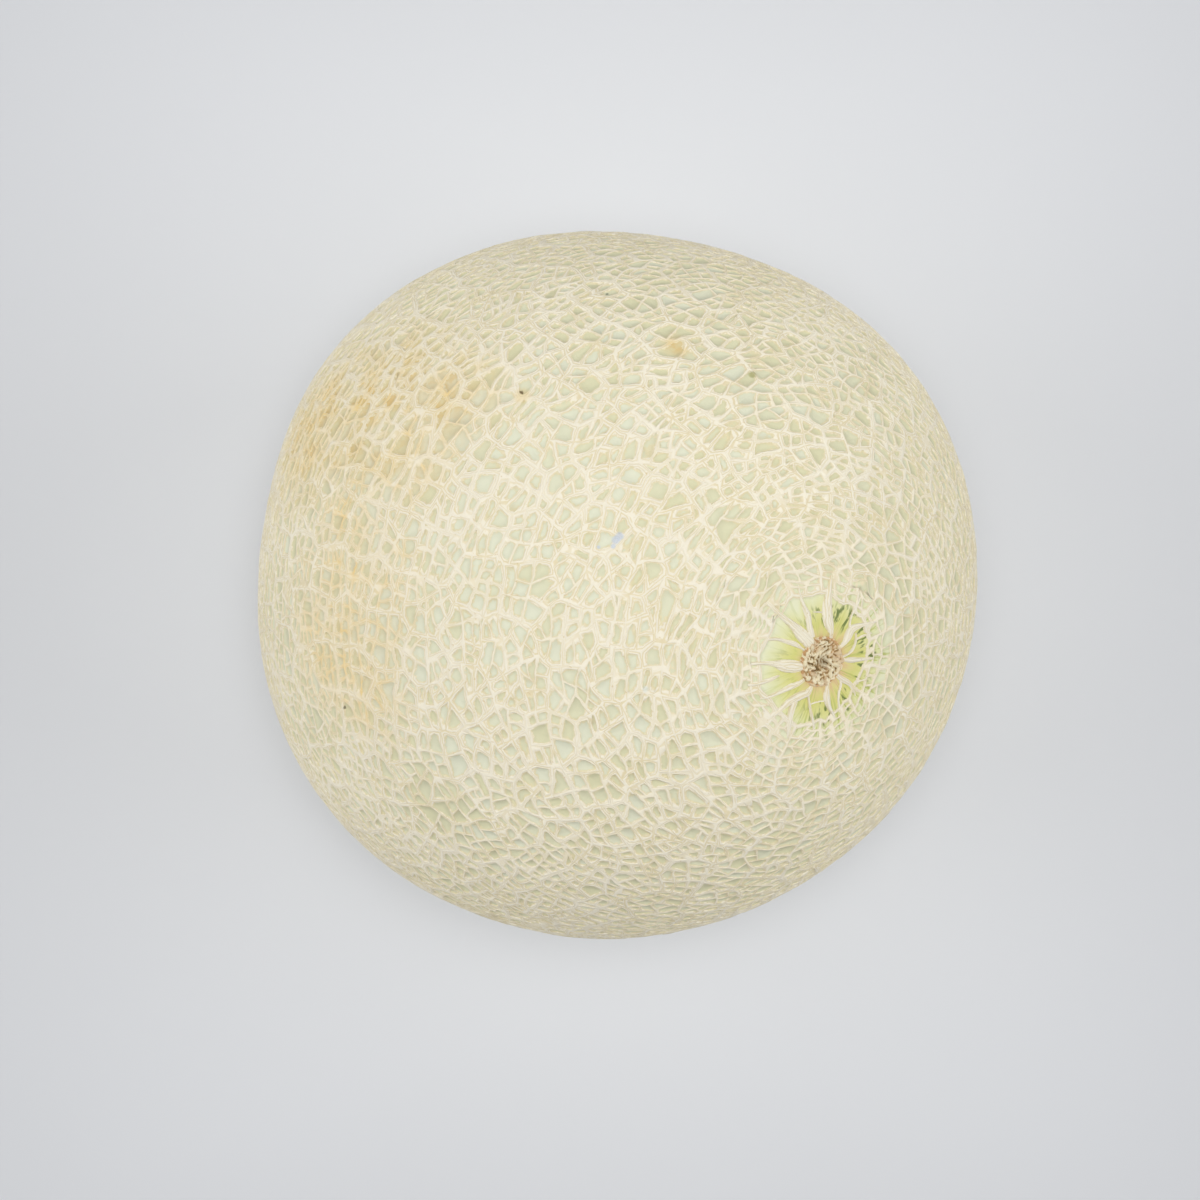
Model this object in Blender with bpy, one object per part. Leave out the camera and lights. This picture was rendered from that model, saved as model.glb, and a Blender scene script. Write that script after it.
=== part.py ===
# Netted melon, whole, as picked. It grew as one piece, so it is one solid: the rind with its
# raised cork net, the stem scar with its rays of cork, and the blossom scar on the far end.
# Metres, +Z up. It lies on a small flat spot, with its stem end leaning up towards +X.

import math
import random

import bmesh
import bpy
from mathutils import Matrix, Vector

# Driving dimensions of the body
EQUATOR_RADIUS = 0.0730
HALF_LENGTH = 0.0755  # from the middle to the stem end, a little more than the equator's radius
STEM_LEAN = math.radians(34.6)
FLAT_SPOT_RADIUS = 0.011  # where a perfect ball of this size would be cut; cords widen the spot

# Broad swellings and hollows that keep it from being a plain egg: compass angle from +X,
# angle above the horizon, rise or fall of the skin, and how wide it spreads.
SWELLINGS = (
    (51, 0, 0.0017, 27),
    (101, 8, -0.0017, 24),
    (160, -4, 0.0010, 26),
    (191, 4, -0.0014, 19),
    (243, 2, 0.0013, 26),
    (318, 6, -0.0010, 26),
    (215, 48, -0.0006, 24),
)

# The net, drawn larger than life: real meshes are about 4 mm across
MESH_PITCH = 0.0103
CORD_RISE = 0.0012
CORD_HALF_WIDTH = 0.0012  # at its foot, measured from the crest
WALL_SHARE_LIMIT = 0.45  # a small mesh's walls never reach further than this towards its middle
SHORTEST_CORD = 0.0019  # a shorter one is merged into one crossing
LOOSENESS = 0.30  # share of the pitch that a mesh may stray from its place
TIDY_REACH = 0.045  # the meshes nearer the stem than this stray less, and keep to rings
NET_SEED = 7

# The stem end: a round scar, a smooth green collar crossed by rays of cork, and a shallow dip
SCAR_RADIUS = 0.0050
SCAR_RIM_RISE = 0.0009
SCAR_BOWL_DEPTH = 0.0006
SCAR_BOWL_SHARE = 0.70  # of the scar's radius
COLLAR_RADIUS = 0.0125
COLLAR_MIDDLE = (SCAR_RADIUS + COLLAR_RADIUS) / 2
RAYS = 14
RAY_RISE = 0.0010
RAY_FOOT_SHARE = 0.60  # of each gap's half width taken by the rays beside it, near the scar
RAY_TIP_SHARE = 0.22  # and at the far end, where they are thin
RAY_TIP_REACH = 1.1 * COLLAR_RADIUS
DIP_DEPTH = 0.0016
DIP_RADIUS = 0.016

# The blossom end: a small corky button
BUTTON_RADIUS = 0.0040
BUTTON_SIDES = 9
BUTTON_RISE = 0.0003
BUTTON_WALL_SHARE = 0.35

MEAN_RADIUS = (2 * EQUATOR_RADIUS + HALF_LENGTH) / 3
STEM = Vector((0, 0, 1))
BLOSSOM = Vector((0, 0, -1))
LEAN = Matrix.Rotation(STEM_LEAN, 3, "Y")
UPRIGHT = LEAN.inverted()

RIND_COLOUR = (0.72, 0.68, 0.47, 1)


def compass(azimuth, elevation):
    """The direction at a compass angle from +X and an angle above the horizon, in degrees."""
    a, e = math.radians(azimuth), math.radians(elevation)
    return Vector((math.cos(a) * math.cos(e), math.sin(a) * math.cos(e), math.sin(e)))


SWELLING_MIDDLES = [UPRIGHT @ compass(azimuth, elevation) for azimuth, elevation, _, _ in SWELLINGS]


def skin_radius(direction):
    """How far the bare skin is from the middle, in a direction of the melon's own frame."""
    across = math.hypot(direction.x, direction.y) / EQUATOR_RADIUS
    radius = 1 / math.hypot(across, direction.z / HALF_LENGTH)
    for middle, (_, _, rise, spread) in zip(SWELLING_MIDDLES, SWELLINGS):
        radius += rise * math.exp(-((direction.angle(middle) / math.radians(spread)) ** 2))
    from_stem = direction.angle(STEM) * MEAN_RADIUS
    return radius - DIP_DEPTH * math.exp(-((from_stem / DIP_RADIUS) ** 2))


def on_ring(reach, turn):
    """The direction at an arc length from the stem's middle, turned about the stem's axis."""
    polar = reach / MEAN_RADIUS
    return Vector((math.sin(polar) * math.cos(turn), math.sin(polar) * math.sin(turn), math.cos(polar)))


def ring_of_seeds(reach, count, offset=0.0):
    return [on_ring(reach, math.tau * (i + offset) / count) for i in range(count)]


def fixed_seeds():
    """The middles of the scar, the gaps between its rays and the first meshes, then the button."""
    half_turn = math.pi * MEAN_RADIUS
    inner = 2 * SCAR_RADIUS
    return (
        [STEM.copy()]
        + ring_of_seeds(inner, RAYS)
        + ring_of_seeds(2 * COLLAR_RADIUS - inner, RAYS)
        + [BLOSSOM.copy()]
        + ring_of_seeds(half_turn - 2 * BUTTON_RADIUS, BUTTON_SIDES)
    )


def loose_seeds():
    """The middles of the other meshes, on rings about the stem that loosen away from it."""
    draw = random.Random(NET_SEED)
    row_step = MESH_PITCH * math.sqrt(3) / 2
    first = 2 * COLLAR_RADIUS - 2 * SCAR_RADIUS + row_step
    last = math.pi * MEAN_RADIUS - 2 * BUTTON_RADIUS - row_step
    rows = round((last - first) / row_step)
    seeds = []
    for row in range(rows + 1):
        reach = first + (last - first) * row / rows
        round_about = math.tau * MEAN_RADIUS * math.sin(reach / MEAN_RADIUS)
        count = round(round_about / MESH_PITCH)
        loose = LOOSENESS * min(1, reach / TIDY_REACH)
        start = draw.random()
        for i in range(count):
            turn = math.tau * (i + start + draw.uniform(-loose, loose)) / count
            seeds.append(on_ring(reach + MESH_PITCH * draw.uniform(-loose, loose), turn))
    return seeds


def meshes_of(seeds):
    """One ring of corners for each seed, turning anticlockwise seen from outside. A corner lies
    where three meshes meet, which is over the middle of their seeds' own hull triangle."""
    hull = bmesh.new()
    for seed in seeds:
        hull.verts.new(seed)
    bmesh.ops.convex_hull(hull, input=hull.verts)
    hull.normal_update()
    hull.faces.index_update()
    corners = [face.normal * math.copysign(1, face.normal.dot(face.verts[0].co)) for face in hull.faces]
    rings = []
    for vert in hull.verts:
        east = vert.co.orthogonal().normalized()
        north = vert.co.cross(east)

        def bearing(face):
            corner = corners[face.index]
            return math.atan2(corner.dot(north), corner.dot(east))

        rings.append([face.index for face in sorted(vert.link_faces, key=bearing)])
    hull.free()
    return corners, rings


def settled(fixed, loose):
    """The loose seeds, each moved half way to the middle of its own mesh."""
    corners, rings = meshes_of(fixed + loose)
    moved = []
    for seed, ring in zip(loose, rings[len(fixed):]):
        middle = sum((corners[index] for index in ring), Vector()) / len(ring)
        moved.append(((seed + middle) / 2).normalized())
    return moved


def melon_mesh():
    fixed = fixed_seeds()
    loose = settled(fixed, loose_seeds())
    corners, rings = meshes_of(fixed + loose)
    bm = bmesh.new()
    verts = [bm.verts.new(corner * MEAN_RADIUS) for corner in corners]
    for ring in rings:
        bm.faces.new([verts[index] for index in ring])
    bmesh.ops.remove_doubles(bm, verts=bm.verts, dist=SHORTEST_CORD)
    sink_meshes(bm)
    bmesh.ops.triangulate(bm, faces=bm.faces, quad_method="SHORT_EDGE", ngon_method="BEAUTY")
    mesh = bpy.data.meshes.new("melon")
    bm.to_mesh(mesh)
    bm.free()
    return mesh


def crest_rise(direction):
    """How far a cord's crest stands over the skin, by the arc from the stem's middle."""
    from_stem = direction.angle(STEM) * MEAN_RADIUS
    if from_stem < COLLAR_MIDDLE:
        return SCAR_RIM_RISE
    if from_stem < RAY_TIP_REACH:
        return RAY_RISE
    return CORD_RISE


def wall_and_depth(corner, middle, breadth):
    """How far a mesh's wall reaches from a corner towards the middle, as a share, and how far its
    floor then lies under the skin."""
    if middle.angle(STEM) * MEAN_RADIUS < SCAR_RADIUS:
        return 1 - SCAR_BOWL_SHARE, SCAR_BOWL_DEPTH
    if middle.angle(STEM) * MEAN_RADIUS < COLLAR_RADIUS:
        beside_scar = corner.angle(STEM) * MEAN_RADIUS < COLLAR_MIDDLE
        return (RAY_FOOT_SHARE if beside_scar else RAY_TIP_SHARE), 0
    if middle.angle(BLOSSOM) * MEAN_RADIUS < BUTTON_RADIUS:
        return BUTTON_WALL_SHARE, -BUTTON_RISE
    return min(WALL_SHARE_LIMIT, CORD_HALF_WIDTH / breadth), 0


def sink_meshes(bm):
    """Leaves each mesh's own outline as the crest of the cords round it, and gives it a floor of
    skin on the same middle, joined to the crest by a sloping wall."""
    crests = list(bm.verts)
    for cell in list(bm.faces):
        ring = list(cell.verts)
        middle = cell.calc_center_median()
        breadth = min(((edge.verts[0].co + edge.verts[1].co) / 2 - middle).length for edge in cell.edges)
        floor = []
        for vert in ring:
            share, depth = wall_and_depth(vert.co, middle, breadth)
            spot = vert.co.lerp(middle, share).normalized()
            floor.append(bm.verts.new(spot * (skin_radius(spot) - depth)))
        bm.faces.remove(cell)
        for i, vert in enumerate(ring):
            j = (i + 1) % len(ring)
            bm.faces.new((vert, ring[j], floor[j], floor[i]))
        bm.faces.new(floor)
    for vert in crests:
        spot = vert.co.normalized()
        vert.co = spot * (skin_radius(spot) + crest_rise(spot))


def lay_down(mesh):
    """Leans the stem end over, sinks the underside into a flat spot at z = 0, and centres it."""
    mesh.transform(LEAN.to_4x4())
    lowest = min(v.co.z for v in mesh.vertices)
    bottom = lowest + CORD_RISE + MEAN_RADIUS - math.sqrt(MEAN_RADIUS ** 2 - FLAT_SPOT_RADIUS ** 2)
    for v in mesh.vertices:
        v.co.z = max(0.0, v.co.z - bottom)
    xs = [v.co.x for v in mesh.vertices]
    ys = [v.co.y for v in mesh.vertices]
    mesh.transform(Matrix.Translation((-(min(xs) + max(xs)) / 2, -(min(ys) + max(ys)) / 2, 0)))


def rind_material():
    material = bpy.data.materials.new("rind")
    material.use_nodes = True
    shader = material.node_tree.nodes["Principled BSDF"]
    shader.inputs["Base Color"].default_value = RIND_COLOUR
    shader.inputs["Roughness"].default_value = 0.75
    shader.inputs["Metallic"].default_value = 0.0
    return material


def build():
    for leftover in list(bpy.data.objects):
        bpy.data.objects.remove(leftover, do_unlink=True)
    mesh = melon_mesh()
    lay_down(mesh)
    mesh.materials.append(rind_material())
    melon = bpy.data.objects.new("melon", mesh)
    bpy.context.scene.collection.objects.link(melon)
    return melon


build()
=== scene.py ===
import math
import random

import bmesh
import bpy
import numpy as np
from mathutils import Matrix, Vector, noise


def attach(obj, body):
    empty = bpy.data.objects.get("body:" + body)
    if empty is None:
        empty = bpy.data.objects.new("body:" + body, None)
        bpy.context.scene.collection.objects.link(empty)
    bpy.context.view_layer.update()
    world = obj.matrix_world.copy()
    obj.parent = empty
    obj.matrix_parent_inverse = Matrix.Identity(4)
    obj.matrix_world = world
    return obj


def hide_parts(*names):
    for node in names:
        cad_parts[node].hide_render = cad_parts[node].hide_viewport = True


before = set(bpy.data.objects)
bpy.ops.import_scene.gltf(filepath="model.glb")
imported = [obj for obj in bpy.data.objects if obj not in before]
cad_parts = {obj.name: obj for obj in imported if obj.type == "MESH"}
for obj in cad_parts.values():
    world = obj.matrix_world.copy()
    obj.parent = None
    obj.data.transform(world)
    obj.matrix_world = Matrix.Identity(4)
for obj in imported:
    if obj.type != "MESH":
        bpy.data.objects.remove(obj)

noise.seed_set(7)  # noise_vector is seeded by the clock otherwise

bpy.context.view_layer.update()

# A netted melon seen from straight above, its stem end leaning over to the right.
# Sizes are in metres, angles in degrees. Shapes are worked out in the melon's own frame, with the
# stem on +Z, and then leaned over and set down where the CAD melon stands.

body = {
    "equatorRadius": 0.0730,
    "halfLength": 0.0755,
    "stemLean": 34.6,
    "middle": (-0.00005, 0.00067, 0.07372),  # in the world
    # compass angle from +X, angle above the horizon, rise or fall of the skin, spread
    "swellings": (
        (51, 0, 0.0017, 27),
        (101, 8, -0.0017, 24),
        (160, -4, 0.0010, 26),
        (191, 4, -0.0014, 19),
        (243, 2, 0.0013, 26),
        (318, 6, -0.0010, 26),
        (215, 48, -0.0006, 24),
    ),
    "dipDepth": 0.0016,
    "dipRadius": 0.016,
    "skinLift": 0.0008,  # the fine net's skin lies between the floors and crests of the CAD melon
    "crestLift": 0.0012,
}

view = {
    "roll": 21.3,  # compass angle of the picture's right hand side
    "distance": 0.700,  # from the camera to the melon's middle
    "focalPixels": 3353,  # for a picture 1200 pixels wide
    "middleX": 12.0,  # where the melon's outline has its middle, in pixels from the picture's
    "middleY": 14.5,
    "pixelsPerMm": 4.79,
}

meanRadius = (2 * body["equatorRadius"] + body["halfLength"]) / 3
stem = Vector((0, 0, 1))
blossom = Vector((0, 0, -1))
lean = Matrix.Rotation(math.radians(body["stemLean"]), 3, "Y")
upright = lean.inverted()
pictureRight = Vector((math.cos(math.radians(view["roll"])), math.sin(math.radians(view["roll"])), 0))
pictureUp = Vector((-pictureRight.y, pictureRight.x, 0))


def compass(azimuth, elevation):
    a, e = math.radians(azimuth), math.radians(elevation)
    return Vector((math.cos(a) * math.cos(e), math.sin(a) * math.cos(e), math.sin(e)))


def anglesFrom(way, directions):
    return np.arccos(np.clip(directions @ np.array(way), -1, 1))


def stemArc(direction):
    # the arc length from the stem's middle
    return direction.angle(stem) * meanRadius


def skinRadius(directions):
    # how far the bare skin is from the middle, for rows of unit vectors in the melon's own frame
    directions = np.asarray(directions, float).reshape(-1, 3)
    across = np.hypot(directions[:, 0], directions[:, 1]) / body["equatorRadius"]
    radius = 1 / np.hypot(across, directions[:, 2] / body["halfLength"])
    for azimuth, elevation, rise, spread in body["swellings"]:
        away = anglesFrom(upright @ compass(azimuth, elevation), directions)
        radius += rise * np.exp(-((away / math.radians(spread)) ** 2))
    fromStem = anglesFrom(stem, directions) * meanRadius
    return radius - body["dipDepth"] * np.exp(-((fromStem / body["dipRadius"]) ** 2))


def setDown(directions, lift):
    # world places on the body, this far over its bare skin; nothing goes below the floor
    directions = np.asarray(directions, float).reshape(-1, 3)
    directions = directions / np.linalg.norm(directions, axis=1)[:, None]
    places = directions * (skinRadius(directions) + lift)[:, None]
    places = places @ np.array(lean).T + np.array(body["middle"])
    places[:, 2] = np.maximum(places[:, 2], 0)
    return places


def onSkin(direction):
    return setDown([tuple(direction)], np.array([body["skinLift"]]))[0]


def onRing(reach, turn):
    # the direction at an arc length from the stem's middle, turned about the stem
    polar = reach / meanRadius
    return Vector((math.sin(polar) * math.cos(turn), math.sin(polar) * math.sin(turn), math.cos(polar)))


def seenAt(x, y, fromStem=False):
    # the direction of the point that the camera sees at x, y metres in the picture, measured from
    # the stem scar or from the melon's middle
    toStem = body["halfLength"] - body["dipDepth"]
    start, ball = (lean @ stem * toStem, toStem) if fromStem else (Vector(), meanRadius)
    if not fromStem:  # what is nearer to the camera looks larger
        far = view["distance"] ** 2
        slant = x * x + y * y + far
        near = (far - math.sqrt(max(far * far - slant * (far - ball * ball), 0))) / slant
        x, y = x * near, y * near
    spot = Vector((start.x, start.y, 0)) + pictureRight * float(x) + pictureUp * float(y)
    spot.z = math.sqrt(max(ball ** 2 - spot.x ** 2 - spot.y ** 2, 0))
    return (upright @ spot).normalized()


netPlan = {
    "seed": 7,
    "mainPitch": 0.0103,
    "shortestMain": 0.0019,
    "looseness": 0.30,
    "tidyReach": 0.045,
    "rays": 14,
    "scarRadius": 0.0050,
    "collarRadius": 0.0125,
    "buttonRadius": 0.0040,
    "buttonSides": 9,
    "meshArea": 13.8e-6,  # a mesh larger than about this is cut in two again
    "meshSpread": 0.26,
    # how much finer or coarser the net is from one region to the next, and noise waves a metre
    "meshDrift": (0.20, 38),
    "coarsest": (-18, 2, 0.038),  # right and up in the picture in mm, and how far that region goes
    "coarsening": (0.76, 0.42),  # meshes are scaled by the first far from there, by their sum at it
    "roundabout": 1.45,  # meshes are this much longer round the stem than towards it,
    "roundaboutAtStem": (0.35, 0.030),  # and more so near it: by how much, and how far that goes
    "finerAtStem": (0.50, 0.024),  # by how much, and how far that goes
    "cutTries": 7,  # of so many cuts, the one that leaves the roundest two meshes is made
    "cutSwing": 0.40,
    "slitShare": 0.06,  # cuts that leave a slit beside a wide mesh
    "slitPlace": (0.20, 0.30),  # how far off the middle such a cut lies, as a share of the mesh
    "cutPlace": 0.15,  # and how far the others may
    "shortestStub": 0.00035,  # a cut that ends nearer to a crossing is joined to it
    "longestStep": 0.00125,
    "mainHalfWidth": 0.00082,
    "mainWidthSpread": 0.16,
    "fineHalfWidth": 0.00061,
    "fineWidthSpread": 0.24,
    "thinning": 0.90,  # with each cut, the new cord is thinner
    "evenHalfWidth": 0.00055,
    "unevenness": (0.90, 0.50),  # widths differ from that one by this, and more where the net is coarse
    "boldness": (0.84, 0.28),  # all widths are scaled by this, and more where the net is coarse
    "widthDrift": (0.35, 45),  # how much the widths drift, and noise waves a metre
    "widthFlutter": (0.25, 320),
    "thinAtStem": (0.52, 0.010, 0.022),  # the share of its width that a cord has there, and the reach
    "wander": (0.00042, 210),  # how far a cord strays sideways, and noise waves a metre
    "jitter": (0.00016, 640),
    # how far the net stays from the stem's middle, in the picture's own directions
    "collarMean": 0.0122,
    "collarSwing": 0.0020,
    "collarTowards": 150,
    "collarRagged": 0.0016,
    "collarFade": 0.030,
    "collarCord": 0.00026,  # half width of the cords round it
}


def ringOfSeeds(reach, count):
    return [onRing(reach, math.tau * i / count) for i in range(count)]


def fixedSeeds():
    plan = netPlan
    inner = 2 * plan["scarRadius"]
    halfTurn = math.pi * meanRadius
    return (
        [stem.copy()]
        + ringOfSeeds(inner, plan["rays"])
        + ringOfSeeds(2 * plan["collarRadius"] - inner, plan["rays"])
        + [blossom.copy()]
        + ringOfSeeds(halfTurn - 2 * plan["buttonRadius"], plan["buttonSides"])
    )


def looseSeeds():
    plan = netPlan
    draw = random.Random(plan["seed"])
    rowStep = plan["mainPitch"] * math.sqrt(3) / 2
    first = 2 * plan["collarRadius"] - 2 * plan["scarRadius"] + rowStep
    last = math.pi * meanRadius - 2 * plan["buttonRadius"] - rowStep
    rows = round((last - first) / rowStep)
    seeds = []
    for row in range(rows + 1):
        reach = first + (last - first) * row / rows
        count = round(math.tau * meanRadius * math.sin(reach / meanRadius) / plan["mainPitch"])
        loose = plan["looseness"] * min(1, reach / plan["tidyReach"])
        start = draw.random()
        for i in range(count):
            turn = math.tau * (i + start + draw.uniform(-loose, loose)) / count
            seeds.append(onRing(reach + plan["mainPitch"] * draw.uniform(-loose, loose), turn))
    return seeds


def meshesOf(seeds):
    # one ring of corners for each seed; a corner lies over the middle of a triangle of seeds
    hull = bmesh.new()
    for seed in seeds:
        hull.verts.new(seed)
    bmesh.ops.convex_hull(hull, input=hull.verts)
    hull.normal_update()
    hull.faces.index_update()
    corners = [face.normal * math.copysign(1, face.normal.dot(face.verts[0].co)) for face in hull.faces]
    rings = []
    for vert in hull.verts:
        east = vert.co.orthogonal().normalized()
        north = vert.co.cross(east)
        bearings = []
        for face in vert.link_faces:
            corner = corners[face.index]
            bearings.append((math.atan2(corner.dot(north), corner.dot(east)), face.index))
        rings.append([index for _, index in sorted(bearings)])
    hull.free()
    return corners, rings


def mainNet():
    # the same cords as the CAD melon has, as flat polygons on a ball
    fixed, loose = fixedSeeds(), looseSeeds()
    corners, rings = meshesOf(fixed + loose)
    moved = []
    for seed, ring in zip(loose, rings[len(fixed):]):
        middle = sum((corners[index] for index in ring), Vector()) / len(ring)
        moved.append(((seed + middle) / 2).normalized())
    corners, rings = meshesOf(fixed + moved)
    net = bmesh.new()
    verts = [net.verts.new(corner * meanRadius) for corner in corners]
    for ring in rings:
        net.faces.new([verts[index] for index in ring])
    bmesh.ops.remove_doubles(net, verts=net.verts, dist=netPlan["shortestMain"])
    reach = netPlan["collarRadius"]
    collar = [face for face in net.faces if stemArc(face.calc_center_median()) < reach]
    bmesh.ops.dissolve_faces(net, faces=collar, use_verts=True)
    return net


def halvesOf(points, side):
    # the two outlines that a cut leaves, from how far each corner is to one side of it
    halves = ([], [])
    for i in range(len(points)):
        j = (i + 1) % len(points)
        halves[side[i] < 0].append(points[i])
        if (side[i] < 0) != (side[j] < 0):
            part = side[i] / (side[i] - side[j])
            crossing = tuple(a + (b - a) * part for a, b in zip(points[i], points[j]))
            halves[0].append(crossing)
            halves[1].append(crossing)
    return halves


def roundness(points):
    area = edge = 0.0
    for (x0, y0), (x1, y1) in zip(points, points[1:] + points[:1]):
        area += (x0 * y1 - x1 * y0) / 2
        edge += math.hypot(x1 - x0, y1 - y0)
    return area / max(edge * edge, 1e-12)


def cutInTwo(face, draw):
    # cuts a mesh across its longer way, and gives back both halves and the new cord
    plan = netPlan
    middle = face.calc_center_median_weighted()
    outward = middle.normalized()
    east = stem.cross(outward).normalized()
    north = outward.cross(east)
    more, reach = plan["roundaboutAtStem"]
    nearStem = math.exp(-((stemArc(middle) / reach) ** 2))
    longer = plan["roundabout"] * (1 + more * nearStem)
    points = [((v.co - middle).dot(east), (v.co - middle).dot(north) * longer) for v in face.verts]
    n = len(points)
    sxx = syy = sxy = 0.0
    for i in range(n):  # along the outline, so that close corners don't count twice
        (x0, y0), (x1, y1) = points[i], points[(i + 1) % n]
        length = math.hypot(x1 - x0, y1 - y0)
        x, y = (x0 + x1) / 2, (y0 + y1) / 2
        sxx += length * (x * x + (x1 - x0) ** 2 / 12)
        syy += length * (y * y + (y1 - y0) ** 2 / 12)
        sxy += length * (x * y + (x1 - x0) * (y1 - y0) / 12)
    lengthwise = 0.5 * math.atan2(2 * sxy, sxx - syy)
    slit = draw.random() < plan["slitShare"]
    best, side = -1.0, None
    for _ in range(1 if slit else plan["cutTries"]):
        angle = lengthwise + draw.gauss(0, plan["cutSwing"] * (0.3 if slit else 1))
        along = [x * math.cos(angle) + y * math.sin(angle) for x, y in points]
        if slit:
            share = draw.choice((-1, 1)) * draw.uniform(*plan["slitPlace"])
        else:
            share = draw.uniform(-plan["cutPlace"], plan["cutPlace"])
        place = (max(along) + min(along)) / 2 + share * (max(along) - min(along))
        tried = [a - place for a in along]
        quality = min(roundness(part) for part in halvesOf(points, tried))
        if quality > best:
            best, side = quality, tried
    ring = list(face.verts)
    cuts = []
    for i in range(n):
        j = (i + 1) % n
        if (side[i] < 0) == (side[j] < 0):
            continue
        part = side[i] / (side[i] - side[j])
        edge = next(e for e in ring[i].link_edges if e.other_vert(ring[i]) is ring[j])
        room = plan["shortestStub"] / edge.calc_length()
        if part < room:
            cuts.append(ring[i])
        elif part > 1 - room:
            cuts.append(ring[j])
        else:
            cuts.append(bmesh.utils.edge_split(edge, ring[i], part)[1])
    if len(cuts) != 2 or cuts[0] is cuts[1]:
        return None
    if any(edge.other_vert(cuts[0]) is cuts[1] for edge in cuts[0].link_edges):
        return None
    other, loop = bmesh.utils.face_split(face, cuts[0], cuts[1])
    return face, other, loop.edge


def coarseness(places, spread=1):
    # 1 where the net is coarsest, falling to 0 away from there
    x, y, reach = netPlan["coarsest"]
    places = np.asarray(places, float).reshape(-1, 3)
    places = places / np.linalg.norm(places, axis=1)[:, None]
    away = anglesFrom(seenAt(x * 0.001, y * 0.001), places) * meanRadius
    return np.exp(-((away / reach / spread) ** 2))


def fineNet():
    # the main net with each mesh cut up into small ones: places of the cords' crests, the half
    # width of the cord at each place, and each mesh's outline as a ring of places
    plan = netPlan
    draw = random.Random(plan["seed"] + 1)
    net = mainNet()
    halfWidth = net.edges.layers.float.new("halfWidth")
    for edge in net.edges:
        edge[halfWidth] = plan["mainHalfWidth"] * math.exp(draw.gauss(0, plan["mainWidthSpread"]))
        if any(len(face.verts) > 2 * plan["rays"] - 4 for face in edge.link_faces):  # the collar's edge
            edge[halfWidth] = plan["collarCord"]
    waiting = []
    for face in list(net.faces):
        fromStem = stemArc(face.calc_center_median())
        fromBlossom = math.pi * meanRadius - fromStem
        if fromStem > plan["scarRadius"] and fromBlossom > plan["buttonRadius"]:
            waiting.append((face, 1))
    while waiting:
        face, depth = waiting.pop()
        corner = face.verts[0].co
        drift, waves = plan["meshDrift"]
        drift = 2 * drift * noise.noise(corner * waves)
        goal = plan["meshArea"] * math.exp(draw.gauss(0, plan["meshSpread"]) + drift)
        least, more = plan["coarsening"]
        goal *= least + more * coarseness(corner)[0]
        share, reach = plan["finerAtStem"]
        goal *= 1 - share * math.exp(-((stemArc(corner) / reach) ** 2))
        if face.calc_area() < goal:
            continue
        halves = cutInTwo(face, draw)
        if halves is None:
            continue
        width = plan["fineHalfWidth"] * plan["thinning"] ** depth
        halves[2][halfWidth] = width * math.exp(draw.gauss(0, plan["fineWidthSpread"]))
        waiting.append((halves[0], depth + 1))
        waiting.append((halves[1], depth + 1))
    net.verts.index_update()
    places = [v.co.normalized() for v in net.verts]
    widths = [max(e[halfWidth] for e in v.link_edges) for v in net.verts]
    between = {}
    for edge in net.edges:  # steps short enough to bend
        a, b = edge.verts
        steps = max(1, round(edge.calc_length() / plan["longestStep"]))
        chain = [a.index]
        for k in range(1, steps):
            chain.append(len(places))
            places.append(a.co.lerp(b.co, k / steps).normalized())
            widths.append(edge[halfWidth])
        chain.append(b.index)
        between[a.index, b.index] = chain
        between[b.index, a.index] = chain[::-1]
    outlines = []
    for face in net.faces:
        loop = [v.index for v in face.verts]
        outline = []
        for a, b in zip(loop, loop[1:] + loop[:1]):
            outline += between[a, b][:-1]
        outlines.append(outline)
    net.free()
    return [wandered(place) for place in places], np.array(widths), outlines


def collarReach(turn):
    # how far the net keeps from the stem's middle; it grew closer on the picture's lower right
    plan = netPlan
    along = lean @ Vector((math.cos(turn), math.sin(turn), 0))
    angle = math.atan2(along.dot(pictureUp), along.dot(pictureRight))
    away = angle - math.radians(plan["collarTowards"])
    ragged = noise.noise(Vector((math.cos(turn), math.sin(turn), 0)) * 4.5)
    return plan["collarMean"] + plan["collarSwing"] * math.cos(away) + plan["collarRagged"] * ragged


def wandered(place):
    # a cord's place, moved a little sideways; round the stem the net is drawn in or pushed out
    plan = netPlan
    reach = stemArc(place)
    turn = math.atan2(place.y, place.x)
    if reach < plan["collarFade"]:
        fade = min(1, (plan["collarFade"] - reach) / (plan["collarFade"] - plan["collarRadius"]))
        reach *= 1 + (collarReach(turn) / plan["collarRadius"] - 1) * fade
        place = onRing(reach, turn)
    loose = min(1, max(0.25, (reach - plan["collarRadius"]) / 0.020))
    spot = place * meanRadius
    much, waves = plan["wander"]
    shift = noise.noise_vector(spot * waves) * much * 2 * loose
    much, waves = plan["jitter"]
    shift += noise.noise_vector(spot * waves + Vector((7, 3, 5))) * much * 2
    return (spot + shift).normalized()


def widestSpot(flat):
    # the spot in an outline that is furthest in from all its sides, so that it sees all of them
    ends = np.roll(flat, -1, axis=0)
    along = ends - flat
    length = np.maximum(np.linalg.norm(along, axis=1), 1e-9)
    inward = np.stack([-along[:, 1], along[:, 0]], axis=1) / length[:, None]
    best = flat.mean(axis=0)
    for share in (0.6, 0.35, 0.2, 0.1):
        tries = np.concatenate([best[None, :], best + (flat - best) * share])
        room = ((tries[:, None, :] - flat[None, :, :]) * inward[None, :, :]).sum(axis=2).min(axis=1)
        best = tries[int(np.argmax(room))]
    return best, room.max()


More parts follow.
